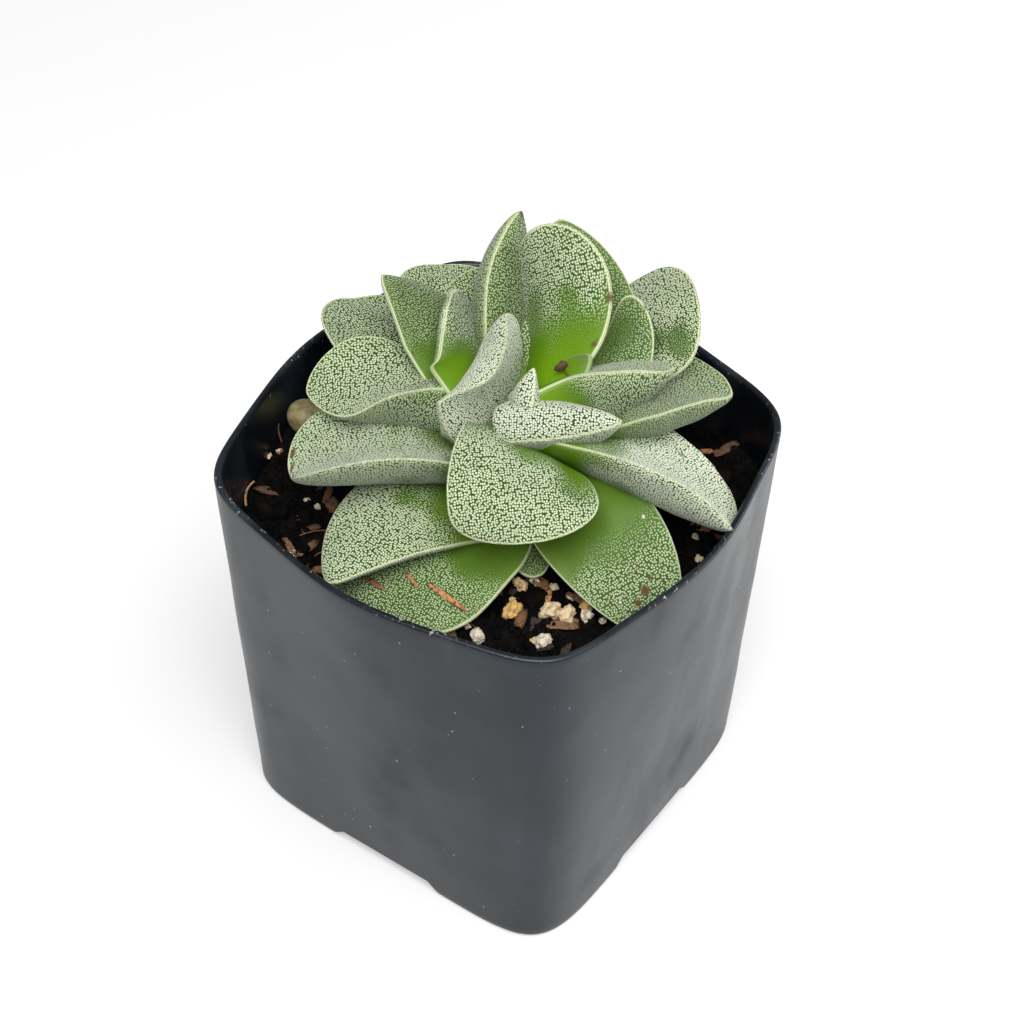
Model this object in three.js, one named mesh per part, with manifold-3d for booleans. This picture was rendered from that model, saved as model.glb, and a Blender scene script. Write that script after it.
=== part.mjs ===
// A rosette succulent in a small square nursery pot: short stem, thick felted leaves in pairs,
// potting mix with perlite, and a loose pebble. Millimetres, +Z up. The origin is on the ground
// under the middle of the pot, whose sides lie along X and Y.
import * as THREE from 'three';
import Module from 'manifold-3d';

const wasm = await Module();
wasm.setup();

// Driving dimensions

const GAP = 0.3;

const POT = {
  height: 50.5,
  rimHalf: 27,
  rimCorner: 6.5,
  rimBow: 0.058,
  baseHalf: 22,
  baseCorner: 7,
  wall: 0.8,
  footHeight: 1.8,
  channelHalf: 8,
  channelTop: 6,
  edgeRound: 0.2,
  drainRadius: 2.4,
  drainReach: 13,
};

const SOIL_LEVEL = 42;

// The mix is heaped a little against the wall behind the left leaves, and the pebble lies on it.
const HEAP = { x: -24, y: -4, height: 1.6, spread: 7 };

const STEM = { foot: 39.5, top: 54.2, footRadius: 3.4, topRadius: 2.3, leafScars: 7, scarDepth: 0.25 };

const PEBBLE = { radius: 2.3, flat: 0.85, x: -22.9, y: -4.6 };

// Every leaf is told by where it leaves the stem and where its tip is. Heading is the compass
// angle from +X in degrees; start and reach are distances from the stem's axis; sickle bends the
// leaf sideways and arch bends it up; roll turns it about its own length, and twist is how much
// further the root is turned than the tip; neck is the width at the root against the full width,
// which it reaches at the share "widest" of its length.

const LEAF_HABIT = {
  root: [0, 0],
  start: 1,
  thick: 3,
  arch: 0,
  sickle: 0,
  roll: 0,
  twist: 0,
  cup: 0,
  neck: 0.6,
  widest: 0.6,
  blunt: 2.2,
  crown: 0.2,
  keel: 1.7,
};

// The youngest leaves stand in the middle, and each older pair lies further out and lower. An
// earlier leaf in this list keeps its form, and a later one is pressed in where the two meet.

const LEAVES = {
  leaf_crown_left: {
    heading: 67, root: [-1.4, -2.9], start: -2.4, fromZ: 53.7, reach: 3.7, toZ: 68.3,
    width: 11, thick: 3.1, arch: 0.2, sickle: -4, roll: 115, twist: -70, cup: 0.05, neck: 0.3,
    widest: 0.1, blunt: 1.6,
  },
  leaf_front_upper: {
    heading: -45, root: [1, -1], fromZ: 54.3, reach: 15.4, toZ: 53,
    width: 15.5, thick: 3.2, arch: 2.1, sickle: -0.2, roll: -10, twist: -44, cup: -0.05, widest: 0.7,
    blunt: 2.7,
  },
  leaf_crown_back_left: {
    heading: 156, root: [-1, -0.5], fromZ: 56, reach: 8.7, toZ: 64.5,
    width: 13.1, thick: 2.8, arch: -1.1, sickle: -2.5, roll: 38, twist: -17, cup: -0.15, widest: 0.4,
    blunt: 1.9,
  },
  leaf_back_tall_right: {
    heading: 118, root: [1, 0.5], fromZ: 55.7, reach: 15.1, toZ: 68,
    width: 13.3, thick: 2.7, arch: -2.9, sickle: -2, roll: -43, twist: -32, cup: -0.2, neck: 0.55,
    blunt: 2,
  },
  leaf_back_tall_left: {
    heading: 121, root: [-1, 3], fromZ: 52.9, reach: 16.1, toZ: 66.9,
    width: 7.5, thick: 4.3, arch: -0.2, sickle: 1.5, roll: 54, twist: -7, cup: 0.05, neck: 0.7,
    widest: 0.55, blunt: 1.7,
  },
  leaf_right_upper: {
    heading: 42, root: [1, 0], fromZ: 55.7, reach: 16.6, toZ: 60.3,
    width: 12.2, thick: 5.8, arch: 1.5, sickle: 2.7, roll: -43, twist: -12, cup: 0.1, neck: 0.65,
    widest: 0.5,
  },
  leaf_left_upper: {
    heading: -153, root: [-4, -1], start: 1.5, fromZ: 56.8, reach: 17.1, toZ: 54.4,
    width: 10.1, thick: 5.8, arch: 0.1, sickle: -0.9, roll: -6, twist: 70, cup: 0.4, neck: 0.3,
    blunt: 1.5,
  },
  leaf_back_left_upper: {
    heading: 164, root: [-1, -1], fromZ: 53.8, reach: 18.4, toZ: 62.1,
    width: 11.5, thick: 2.7, arch: 0.8, sickle: -2, roll: 16, twist: -24, cup: -0.05, neck: 0.65,
    widest: 0.55, blunt: 1.4,
  },
  leaf_right_middle: {
    heading: 43, root: [0.5, 0], fromZ: 51.7, reach: 24.3, toZ: 55.4,
    width: 15.8, thick: 4.8, arch: 0.8, sickle: 2.4, roll: -14, twist: 22, cup: 0.2, widest: 0.65,
    blunt: 1.9,
  },
  leaf_front_right_middle: {
    heading: 6, root: [0, 1.5], fromZ: 53.8, reach: 26.7, toZ: 50.1,
    width: 14.1, thick: 4.1, arch: 2, sickle: 1.4, roll: -26, twist: 36, cup: 0.25, neck: 0.65,
    widest: 0.65, blunt: 2,
  },
  leaf_left_middle: {
    heading: -134, root: [1, -1.5], fromZ: 49.8, reach: 22.3, toZ: 51.4,
    width: 16.3, thick: 3.6, arch: 2.5, sickle: -0.2, roll: 18, twist: -13, cup: 0.35, neck: 0.7,
    blunt: 2.6,
  },
  leaf_right_small: {
    heading: 82, root: [3, -2], start: 5, fromZ: 55.5, reach: 17.6, toZ: 63.7,
    width: 6.1, thick: 2.6, arch: -2, sickle: -3.3, roll: 13, twist: -16, neck: 0.95, widest: 0.4,
    blunt: 2.8,
  },
  leaf_back_wide: {
    heading: 111, root: [0.5, 0], fromZ: 52, reach: 23.1, toZ: 63.4,
    width: 14.5, thick: 3.1, arch: 0.8, sickle: -3.9, roll: 10, twist: -12, cup: -0.05, blunt: 1.3,
  },
  leaf_right_outer: {
    heading: 66, root: [-0.5, 0], fromZ: 49.8, reach: 24.7, toZ: 60.8,
    width: 15.4, arch: -1.6, sickle: 3, roll: -8, twist: 1, cup: -0.1, widest: 0.75, blunt: 2.8,
  },
  leaf_back_small: {
    heading: 135, root: [0, -0.5], fromZ: 54.1, reach: 18.9, toZ: 59.3,
    width: 10.1, arch: 0.3, sickle: -0.9, roll: -11, twist: 6, cup: 0.05, widest: 0.65, blunt: 2.5,
  },
  leaf_back_left_lower: {
    heading: 141, fromZ: 52.3, reach: 23.1, toZ: 56.6,
    width: 13.3, arch: 1, sickle: 0.8, roll: 7, twist: -5, cup: 0.15, widest: 0.7, blunt: 2.5,
  },
  leaf_left_outer: {
    heading: 165, fromZ: 49.9, reach: 25.5, toZ: 53.9,
    width: 12.8, thick: 2.7, arch: 1.5, sickle: 2.3, roll: 6, twist: -10, cup: 0.2, neck: 0.2,
    widest: 0.65, blunt: 2.7,
  },
  leaf_front_left_middle: {
    heading: -105, root: [1.5, -2], start: 3, fromZ: 46.9, reach: 23.1, toZ: 47.5,
    width: 13.3, thick: 4.2, arch: 2.4, sickle: -1.8, twist: -10, cup: -0.05, neck: 0.95, widest: 0.3,
    blunt: 1.8,
  },
  leaf_front_right_lower: {
    heading: -16, root: [0.5, 1], fromZ: 47.8, reach: 25.3, toZ: 42.5,
    width: 12.5, thick: 2.9, arch: 3.3, sickle: 1.7, roll: 23, twist: -3, cup: 0.05, neck: 0.45,
    widest: 0.5, blunt: 2,
  },
  leaf_front_left_lower: {
    heading: -88, root: [0.5, 1], fromZ: 46.4, reach: 25.6, toZ: 44.4,
    width: 19, arch: 0.7, sickle: -1.2, roll: 8, twist: 8, cup: -0.2, widest: 0.4, blunt: 3.2,
  },
  leaf_front_small: {
    heading: -38, start: 5, fromZ: 47, reach: 13.5, toZ: 44,
    width: 5, thick: 2.5, widest: 0.5,
  },
  leaf_back_lower: {
    heading: 112, fromZ: 47, reach: 21.5, toZ: 44.5,
    width: 14, arch: 2,
  },
  flower_stalk_bract: {
    heading: 63, root: [1.8, -2.6], start: 7.8, fromZ: 60.4, reach: 10.4, toZ: 62.3,
    width: 3.6, thick: 1.6, neck: 0.8, widest: 0.35, blunt: 1.2,
  },
};

// The innermost two leaves have not parted yet: they are joined at the root and are one piece.

const CROWN_PAIR = [
  {
    heading: 24, root: [1.5, -2], start: -0.6, fromZ: 56.9, reach: 12.6, toZ: 59.1,
    width: 5.4, thick: 6.3, arch: 0.6, sickle: -0.1, roll: 16, twist: 5, cup: -0.2, neck: 0.65,
    widest: 0.15, blunt: 1.9,
  },
  {
    heading: 62, root: [1.5, 0], fromZ: 55.6, reach: 2.3, toZ: 61.8,
    width: 4.4, thick: 2.9, arch: 1.7, sickle: -1.1, roll: 10, twist: -9, cup: -0.05, neck: 1,
    widest: 0.1, blunt: 1.5,
  },
];

// Places of the perlite grains that show between the front leaves: x, y and radius

const PERLITE_IN_FRONT = [
  [10.7, -12.3, 1.1],
  [14, -10.4, 1.1],
  [15.5, -9.5, 0.9],
  [17.1, -8.2, 0.75],
  [9.6, -17.5, 0.8],
  [15.6, -14, 0.8],
];

const PERLITE_ELSEWHERE = 16;
const BARK_CHIPS = 26;
const GRAIN_SEED = 41;

// Materials

const leafGreen = new THREE.MeshStandardMaterial({ color: 0x8fa67c, roughness: 0.8, metalness: 0 });
const youngGreen = new THREE.MeshStandardMaterial({ color: 0xb9c9a6, roughness: 0.85, metalness: 0 });
const potBlack = new THREE.MeshStandardMaterial({ color: 0x33363a, roughness: 0.42, metalness: 0 });
const soilDark = new THREE.MeshStandardMaterial({ color: 0x1f1813, roughness: 0.95, metalness: 0 });
const stemBrown = new THREE.MeshStandardMaterial({ color: 0x6d7350, roughness: 0.85, metalness: 0 });
const pebbleTan = new THREE.MeshStandardMaterial({ color: 0xb3a286, roughness: 0.7, metalness: 0 });

// Closed skins and solids

// Rings of equal length become one closed skin, with a fan of triangles over each end.
function skin(rings, lowEnd, highEnd) {
  const points = rings.flat().concat([lowEnd, highEnd]);
  const around = rings[0].length;
  const low = points.length - 2;
  const high = points.length - 1;
  const index = [];
  for (let row = 0; row + 1 < rings.length; row++) {
    for (let k = 0; k < around; k++) {
      const a = row * around + k;
      const b = row * around + ((k + 1) % around);
      index.push(a, b, b + around, a, b + around, a + around);
    }
  }
  const last = (rings.length - 1) * around;
  for (let k = 0; k < around; k++) {
    const next = (k + 1) % around;
    index.push(low, next, k, high, last + k, last + next);
  }
  const geometry = new THREE.BufferGeometry().setFromPoints(points);
  geometry.setIndex(index);
  return geometry;
}

function solidOf(geometry) {
  const vertProperties = Float32Array.from(geometry.attributes.position.array);
  const triVerts = Uint32Array.from(geometry.index.array);
  return new wasm.Manifold(new wasm.Mesh({ numProp: 3, vertProperties, triVerts }));
}

function geometryOf(solid) {
  const { vertProperties, triVerts } = solid.getMesh();
  const geometry = new THREE.BufferGeometry();
  geometry.setAttribute('position', new THREE.BufferAttribute(Float32Array.from(vertProperties), 3));
  geometry.setIndex(Array.from(triVerts));
  geometry.computeVertexNormals();
  return geometry;
}

// The same skin moved outwards, so that what it cuts keeps clear of the piece itself.
function grown(geometry, distance) {
  const place = geometry.attributes.position;
  const index = geometry.index.array;
  const faceNormals = Array.from({ length: place.count }, () => []);
  const corner = [0, 1, 2].map(() => new THREE.Vector3());
  for (let i = 0; i < index.length; i += 3) {
    corner.forEach((point, k) => point.fromBufferAttribute(place, index[i + k]));
    const normal = new THREE.Triangle(...corner).getNormal(new THREE.Vector3());
    [0, 1, 2].forEach((k) => faceNormals[index[i + k]].push(normal));
  }
  const steepest = 0.35;
  const moved = faceNormals.map((normals, vertex) => {
    const outward = normals.reduce((sum, n) => sum.add(n), new THREE.Vector3()).normalize();
    const slope = Math.min(...normals.map((n) => n.dot(outward)));
    const point = new THREE.Vector3().fromBufferAttribute(place, vertex);
    return point.addScaledVector(outward, distance / Math.max(slope, steepest));
  });
  const result = new THREE.BufferGeometry().setFromPoints(moved);
  result.setIndex(Array.from(index));
  return result;
}

function largestBody(solid) {
  return solid.decompose().reduce((best, body) => (body.volume() > best.volume() ? body : best));
}

// Pot

// Radius of a square with rounded corners and slightly hollow sides, at one compass angle.
function squareRadius(angle, half, corner, bow) {
  const across = Math.abs(Math.cos(angle)) ** corner;
  const along = Math.abs(Math.sin(angle)) ** corner;
  const square = (across + along) ** (-1 / corner);
  return (square * half * (1 + bow * Math.cos(4 * angle))) / (1 + bow);
}

const POT_SIDES = 80;

// One level of the tapered pot wall, moved in by "inset" all round.
function potRing(z, inset, sides = POT_SIDES) {
  const ring = [];
  const level = z / POT.height;
  for (let k = 0; k < sides; k++) {
    const angle = (k / sides) * 2 * Math.PI;
    const base = squareRadius(angle, POT.baseHalf, POT.baseCorner, 0);
    const rim = squareRadius(angle, POT.rimHalf, POT.rimCorner, POT.rimBow);
    const radius = THREE.MathUtils.lerp(base, rim, level);
    const shrink = 1 - inset / THREE.MathUtils.lerp(POT.baseHalf, POT.rimHalf, level);
    ring.push(new THREE.Vector3(radius * shrink * Math.cos(angle), radius * shrink * Math.sin(angle), z));
  }
  return ring;
}

function potBody(levels) {
  const rings = levels.map(([z, inset]) => potRing(z, inset));
  const lowest = levels[0][0];
  const highest = levels[levels.length - 1][0];
  return solidOf(skin(rings, new THREE.Vector3(0, 0, lowest), new THREE.Vector3(0, 0, highest)));
}

// Two bars in a cross, with half their width below and above. Under the floor they are the
// channel between the four feet.
function crossBars(lowHalf, highHalf, low, high) {
  const outline = new THREE.Shape([
    new THREE.Vector2(-lowHalf, low),
    new THREE.Vector2(lowHalf, low),
    new THREE.Vector2(highHalf, high),
    new THREE.Vector2(-highHalf, high),
  ]);
  const bar = new THREE.ExtrudeGeometry(outline, { depth: 4 * POT.rimHalf, bevelEnabled: false });
  bar.translate(0, 0, -2 * POT.rimHalf).rotateX(Math.PI / 2);
  const across = bar.clone().rotateZ(Math.PI / 2);
  return solidOf(welded(bar)).add(solidOf(welded(across)));
}

// Shared corners of a geometry class become one vertex each.
function welded(geometry) {
  const place = geometry.attributes.position;
  const source = geometry.index ? Array.from(geometry.index.array) : [...Array(place.count).keys()];
  const seen = new Map();
  const points = [];
  const index = source.map((vertex) => {
    const point = new THREE.Vector3().fromBufferAttribute(place, vertex);
    const key = point.toArray().map((value) => Math.round(value * 1e4)).join();
    if (!seen.has(key)) {
      seen.set(key, points.length);
      points.push(point);
    }
    return seen.get(key);
  });
  const result = new THREE.BufferGeometry().setFromPoints(points);
  result.setIndex(index);
  return result;
}

// The space inside the pot, kept off its walls by "clear".
function potCavity(clear, top) {
  const inset = POT.wall + clear;
  const space = potBody([[POT.wall + clear, inset], [top, inset]]);
  const floorTop = POT.footHeight + POT.wall + clear;
  const half = POT.channelHalf + inset;
  return space.subtract(crossBars(half, half, -1, floorTop));
}

function makePot() {
  const edge = POT.edgeRound;
  const outside = potBody([
    [0, 3 * edge],
    [2 * edge, 0],
    [POT.height - edge, 0],
    [POT.height, edge],
  ]);
  const flare = (POT.channelHalf - POT.channelTop) / POT.footHeight;
  let pot = outside.subtract(crossBars(POT.channelHalf + flare, POT.channelTop, -1, POT.footHeight));
  pot = pot.subtract(potCavity(0, POT.height + 1));
  const reach = POT.drainReach;
  for (const [x, y] of [[0, 0], [reach, 0], [-reach, 0], [0, reach], [0, -reach]]) {
    const drill = new THREE.CylinderGeometry(POT.drainRadius, POT.drainRadius, 4, 16);
    drill.rotateX(Math.PI / 2).translate(x, y, POT.footHeight);
    pot = pot.subtract(solidOf(welded(drill)));
  }
  return pot;
}

// Leaves

// Half the width at the share t of the length.
function halfWidth(leaf, t) {
  const full = leaf.width / 2;
  if (t < leaf.widest) {
    return full * (leaf.neck + (1 - leaf.neck) * Math.sin((Math.PI / 2) * (t / leaf.widest)));
  }
  const u = (t - leaf.widest) / (1 - leaf.widest);
  return full * Math.max(1 - u ** leaf.blunt, 0) ** (leaf.blunt >= 2 ? 1 / 2 : 1 / 1.5);
}

// Depth of the underside below the margins at the share t of the length.
function depthAt(leaf, t) {
  const deepest = 0.35;
  const u = (t - deepest) / (1 - deepest);
  const along = t < deepest ? 0.75 + (0.25 * t) / deepest : 0.35 + 0.65 * Math.sqrt(Math.max(1 - u * u, 0));
  return leaf.thick * along * Math.sqrt(Math.max(1 - t ** 6, 0));
}

const LEAF_ROWS = 9;
const LEAF_COLUMNS = 7;
const TIP_CROWDING = 1.8;

function leafGeometry(wanted) {
  const leaf = { ...LEAF_HABIT, ...wanted };
  const heading = THREE.MathUtils.degToRad(leaf.heading);
  const outward = new THREE.Vector3(Math.cos(heading), Math.sin(heading), 0);
  const axis = new THREE.Vector3(leaf.root[0], leaf.root[1], 0);
  const root = axis.clone().addScaledVector(outward, leaf.start).setZ(leaf.fromZ);
  const tip = axis.clone().addScaledVector(outward, leaf.reach).setZ(leaf.toZ);
  const chord = tip.clone().sub(root);
  const along = chord.clone().normalize();
  const side = new THREE.Vector3(-Math.sin(heading), Math.cos(heading), 0);
  side.applyAxisAngle(along, THREE.MathUtils.degToRad(leaf.roll));
  const above = along.clone().cross(side);
  const bend = above.multiplyScalar(leaf.arch).addScaledVector(side, leaf.sickle);
  const rings = [];
  for (let row = 0; row < LEAF_ROWS; row++) {
    const t = 1 - (1 - row / LEAF_ROWS) ** TIP_CROWDING;
    const middle = root.clone().addScaledVector(chord, t).addScaledVector(bend, 4 * t * (1 - t));
    const forward = chord.clone().addScaledVector(bend, 4 * (1 - 2 * t)).normalize();
    const across = side.clone().addScaledVector(forward, -side.dot(forward)).normalize();
    across.applyAxisAngle(forward, THREE.MathUtils.degToRad(leaf.twist) * (0.5 - t));
    const up = forward.clone().cross(across);
    rings.push(leafRing(leaf, t, middle, across, up));
  }
  return skin(rings, root, tip);
}

// One cross-section: over the top from one margin to the other, then back underneath.
function leafRing(leaf, t, middle, across, up) {
  const half = halfWidth(leaf, t);
  const depth = depthAt(leaf, t);
  const ring = [];
  const steps = LEAF_COLUMNS - 1;
  for (let k = 0; k < 2 * steps; k++) {
    const onTop = k <= steps;
    const turn = onTop ? 1 - (2 * k) / steps : (2 * (k - steps)) / steps - 1;
    const s = Math.sin((turn * Math.PI) / 2);
    const margin = leaf.cup * half * s * s;
    const under = depth * Math.max(1 - Math.abs(s) ** leaf.keel, 0) ** 0.8;
    const height = onTop ? leaf.crown * depth * (1 - s * s) : -under;
    ring.push(middle.clone().addScaledVector(across, half * s).addScaledVector(up, margin + height));
  }
  return ring;
}

// Stem

function makeStem() {
  const sides = 12;
  const rows = 2 * STEM.leafScars;
  const rings = [];
  for (let row = 0; row <= rows; row++) {
    const share = row / rows;
    const scar = row % 2 === 0 ? STEM.scarDepth : 0;
    const radius = THREE.MathUtils.lerp(STEM.footRadius, STEM.topRadius, share) - scar;
    const z = THREE.MathUtils.lerp(STEM.foot, STEM.top, share);
    const ring = [];
    for (let k = 0; k < sides; k++) {
      const angle = (k / sides) * 2 * Math.PI;
      ring.push(new THREE.Vector3(radius * Math.cos(angle), radius * Math.sin(angle), z));
    }
    rings.push(ring);
  }
  return skin(rings, new THREE.Vector3(0, 0, STEM.foot), new THREE.Vector3(0, 0, STEM.top));
}

// Potting mix and pebble

// Height of the mix, with low lumps and the heap.
function soilHeight(x, y) {
  const lumps = Math.sin(0.55 * x + 0.4) * Math.cos(0.5 * y - 0.7) + 0.6 * Math.sin(0.9 * x - 0.8 * y);
  const away = ((x - HEAP.x) ** 2 + (y - HEAP.y) ** 2) / HEAP.spread ** 2;
  return SOIL_LEVEL + 0.35 * lumps + HEAP.height * Math.exp(-away);
}

function soilBlock() {
  const inset = POT.wall + GAP;
  const sides = POT_SIDES / 2;
  const bottom = potRing(POT.wall + GAP, inset, sides);
  const edge = potRing(SOIL_LEVEL, inset, sides);
  const rings = [bottom];
  const topRings = 6;
  for (let row = topRings; row >= 1; row--) {
    rings.push(edge.map((point) => {
      const x = (point.x * row) / topRings;
      const y = (point.y * row) / topRings;
      return new THREE.Vector3(x, y, soilHeight(x, y));
    }));
  }
  const middle = new THREE.Vector3(0, 0, soilHeight(0, 0));
  const block = solidOf(skin(rings, new THREE.Vector3(0, 0, POT.wall + GAP), middle));
  const floorTop = POT.footHeight + POT.wall + GAP;
  const half = POT.channelHalf + inset;
  return block.subtract(crossBars(half, half, -1, floorTop));
}

// A repeatable draw of numbers from 0 to 1.
function seededDraw(seed) {
  let state = seed;
  return () => {
    state = (state * 16807) % 2147483647;
    return state / 2147483647;
  };
}

function perliteGrain(x, y, radius, draw) {
  const grain = new THREE.IcosahedronGeometry(radius, 0);
  grain.rotateX(draw() * Math.PI).rotateZ(draw() * Math.PI).scale(1, 0.85 + 0.3 * draw(), 0.8);
  grain.translate(x, y, soilHeight(x, y) + 0.25 * radius);
  return solidOf(welded(grain));
}

function barkChip(x, y, draw) {
  const chip = new THREE.BoxGeometry(1.6 + 2.2 * draw(), 1 + 0.9 * draw(), 0.9);
  chip.rotateY(0.5 * (draw() - 0.5)).rotateZ(draw() * Math.PI);
  chip.translate(x, y, soilHeight(x, y) + 0.12);
  return solidOf(welded(chip));
}

// Even places over the mix, from beside the stem to beside the wall, each a golden turn on.
function scatterPlaces(count, draw) {
  const goldenTurn = 2.399963;
  const outermost = 22.5;
  return [...Array(count).keys()].map((k) => {
    const reach = outermost * Math.sqrt((k + 3) / (count + 3));
    const angle = k * goldenTurn + 0.5 * draw();
    return [reach * Math.cos(angle), reach * Math.sin(angle)];
  });
}

function makeSoil() {
  const draw = seededDraw(GRAIN_SEED);
  const grains = PERLITE_IN_FRONT.map(([x, y, radius]) => perliteGrain(x, y, radius, draw));
  for (const [x, y] of scatterPlaces(PERLITE_ELSEWHERE, draw)) {
    grains.push(perliteGrain(x, y, 0.7 + 0.5 * draw(), draw));
  }
  for (const [x, y] of scatterPlaces(BARK_CHIPS, draw)) {
    grains.push(barkChip(-x, y, draw));
  }
  return grains.reduce((soil, grain) => soil.add(grain), soilBlock());
}

function makePebble() {
  const pebble = new THREE.SphereGeometry(PEBBLE.radius, 14, 9);
  pebble.rotateX(Math.PI / 2).scale(1, 0.9, PEBBLE.flat);
  const lift = PEBBLE.radius * PEBBLE.flat * 0.85;
  return welded(pebble.translate(PEBBLE.x, PEBBLE.y, soilHeight(PEBBLE.x, PEBBLE.y) + lift));
}

// Assembly

const plant = new THREE.Group();

function addPiece(name, solid, material) {
  const mesh = new THREE.Mesh(geometryOf(largestBody(solid)), material);
  mesh.name = name;
  plant.add(mesh);
}

const pot = makePot();
const wallClearance = potBody([[POT.wall, -GAP], [POT.height + GAP, -GAP]])
  .subtract(potBody([[POT.wall - 1, POT.wall + GAP], [POT.height + 1, POT.wall + GAP]]));

const stem = makeStem();
const keepClear = [solidOf(grown(stem, GAP)), wallClearance];

// Cuts a growing piece back from everything that was placed before it.
function pressedIn(solid) {
  return keepClear.reduce((rest, other) => rest.subtract(other), solid);
}

addPiece('pot', pot, potBlack);
addPiece('stem', solidOf(stem), stemBrown);

const pair = CROWN_PAIR.map(leafGeometry);
addPiece('leaf_crown_pair', pressedIn(solidOf(pair[0]).add(solidOf(pair[1]))), youngGreen);
pair.forEach((leaf) => keepClear.push(solidOf(grown(leaf, GAP))));

for (const [name, wanted] of Object.entries(LEAVES)) {
  const leaf = leafGeometry(wanted);
  addPiece(name, pressedIn(solidOf(leaf)), name.startsWith('leaf_crown') ? youngGreen : leafGreen);
  keepClear.push(solidOf(grown(leaf, GAP)));
}

const pebble = makePebble();
addPiece('pebble', solidOf(pebble), pebbleTan);
keepClear.push(solidOf(grown(pebble, GAP)));
addPiece('soil', pressedIn(makeSoil()), soilDark);

export default plant;
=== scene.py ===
# A young felted rosette succulent in its square nursery pot, finished for a studio picture.
# Lengths in the tables are millimetres, and every mesh is made in metres.
import math

import bmesh
import bpy
import numpy as np
from mathutils import Matrix, Vector, noise


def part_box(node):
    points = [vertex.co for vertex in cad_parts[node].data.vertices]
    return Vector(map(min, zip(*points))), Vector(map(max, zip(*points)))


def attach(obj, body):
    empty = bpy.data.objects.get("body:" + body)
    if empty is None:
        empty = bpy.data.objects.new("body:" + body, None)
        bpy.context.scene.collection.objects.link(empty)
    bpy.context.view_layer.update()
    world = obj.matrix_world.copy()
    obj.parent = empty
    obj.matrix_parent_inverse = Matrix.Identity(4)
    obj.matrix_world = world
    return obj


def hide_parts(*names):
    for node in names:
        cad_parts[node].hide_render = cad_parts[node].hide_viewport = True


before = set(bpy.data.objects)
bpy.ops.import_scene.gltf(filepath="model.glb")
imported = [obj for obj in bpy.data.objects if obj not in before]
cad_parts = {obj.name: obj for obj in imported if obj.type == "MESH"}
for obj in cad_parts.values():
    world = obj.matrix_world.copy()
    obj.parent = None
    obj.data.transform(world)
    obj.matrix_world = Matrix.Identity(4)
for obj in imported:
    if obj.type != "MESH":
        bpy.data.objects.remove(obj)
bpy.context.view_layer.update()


# Camera
# A long lens leans over the front corner of the pot and looks down into the rosette, as someone
# at a potting bench would hold it. The pot stays a little below the middle of the picture.
MM = 0.001
VIEW_AZIMUTH = math.radians(34.567)
VIEW_ELEVATION = math.radians(46.199)
VIEW_ROLL = math.radians(1.019)
VIEW_DISTANCE = 296.127 * MM
VIEW_SIDESTEP = 1.504 * MM
VIEW_RISE = 10.597 * MM
VIEW_CENTRE = Vector((0, 0, 25 * MM))
LENS_MM = 91.78
SENSOR_MM = 36
NEAREST = 10 * MM
FARTHEST = 10

back = Vector((
    math.sin(VIEW_AZIMUTH) * math.cos(VIEW_ELEVATION),
    -math.cos(VIEW_AZIMUTH) * math.cos(VIEW_ELEVATION),
    math.sin(VIEW_ELEVATION),
))
level_right = Vector((math.cos(VIEW_AZIMUTH), math.sin(VIEW_AZIMUTH), 0))
level_up = back.cross(level_right)
right = math.cos(VIEW_ROLL) * level_right + math.sin(VIEW_ROLL) * level_up
up = back.cross(right)
lens = bpy.data.cameras.new("bench_camera")
lens.lens = LENS_MM
lens.sensor_width = SENSOR_MM
lens.clip_start = NEAREST
lens.clip_end = FARTHEST
camera = bpy.data.objects.new("bench_camera", lens)
bpy.context.scene.collection.objects.link(camera)
place = VIEW_CENTRE + VIEW_DISTANCE * back + VIEW_SIDESTEP * right + VIEW_RISE * up
camera.matrix_world = Matrix.Translation(place) @ Matrix((right, up, back)).transposed().to_4x4()
bpy.context.scene.camera = camera


# Floor and light
# A white sheet on the bench, under a broad overhead diffuser and a white room, with a second lamp
# on the sheet at the right, which the pot mirrors. Only the contact shadow shows on the sheet.
def paint(red, green, blue):
    """A colour given as it looks on screen, 0 to 255, in the linear form that shaders take."""
    seen = np.array([red, green, blue]) / 255
    linear = np.where(seen <= 0.04045, seen / 12.92, ((seen + 0.055) / 1.055) ** 2.4)
    return (*linear, 1.0)


def new_finish(name):
    """A new material, and its main shader."""
    finish = bpy.data.materials.new(name)
    finish.use_nodes = True
    return finish, finish.node_tree.nodes["Principled BSDF"]


def feed(finish, socket, value):
    """Sets a socket, or joins another node's output to it."""
    if isinstance(value, bpy.types.NodeSocket):
        finish.node_tree.links.new(value, socket)
    else:
        socket.default_value = value


def node(finish, kind, sockets, **settings):
    """One more node of a material, with its inputs by name or number."""
    made = finish.node_tree.nodes.new("ShaderNode" + kind)
    for key, value in settings.items():
        setattr(made, key, value)
    for key, value in sockets.items():
        feed(finish, made.inputs[key], value)
    return made


def mixed(finish, share, first, second):
    """Two colours mixed by a share from 0 to 1; the node takes colours at inputs 6 and 7."""
    sockets = {0: share, 6: first, 7: second}
    return node(finish, "Mix", sockets, data_type="RGBA").outputs[2]


def cloudy(finish, size, detail=2, stretch=(1, 1, 1)):
    """Soft noise from 0 to 1, its patches about size millimetres across."""
    where = node(finish, "TexCoord", {}).outputs["Object"]
    where = node(finish, "Mapping", {"Vector": where, "Scale": stretch}).outputs["Vector"]
    sockets = {"Vector": where, "Scale": 1 / (size * MM), "Detail": detail}
    return node(finish, "TexNoise", sockets).outputs["Fac"]


def set_all_over(shader, roughness, **sockets):
    """Sets what is the same all over a surface directly on its shader."""
    shader.inputs["Roughness"].default_value = roughness
    for key, value in sockets.items():
        shader.inputs[key.replace("_", " ").title().replace("Ior", "IOR")].default_value = value


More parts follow.
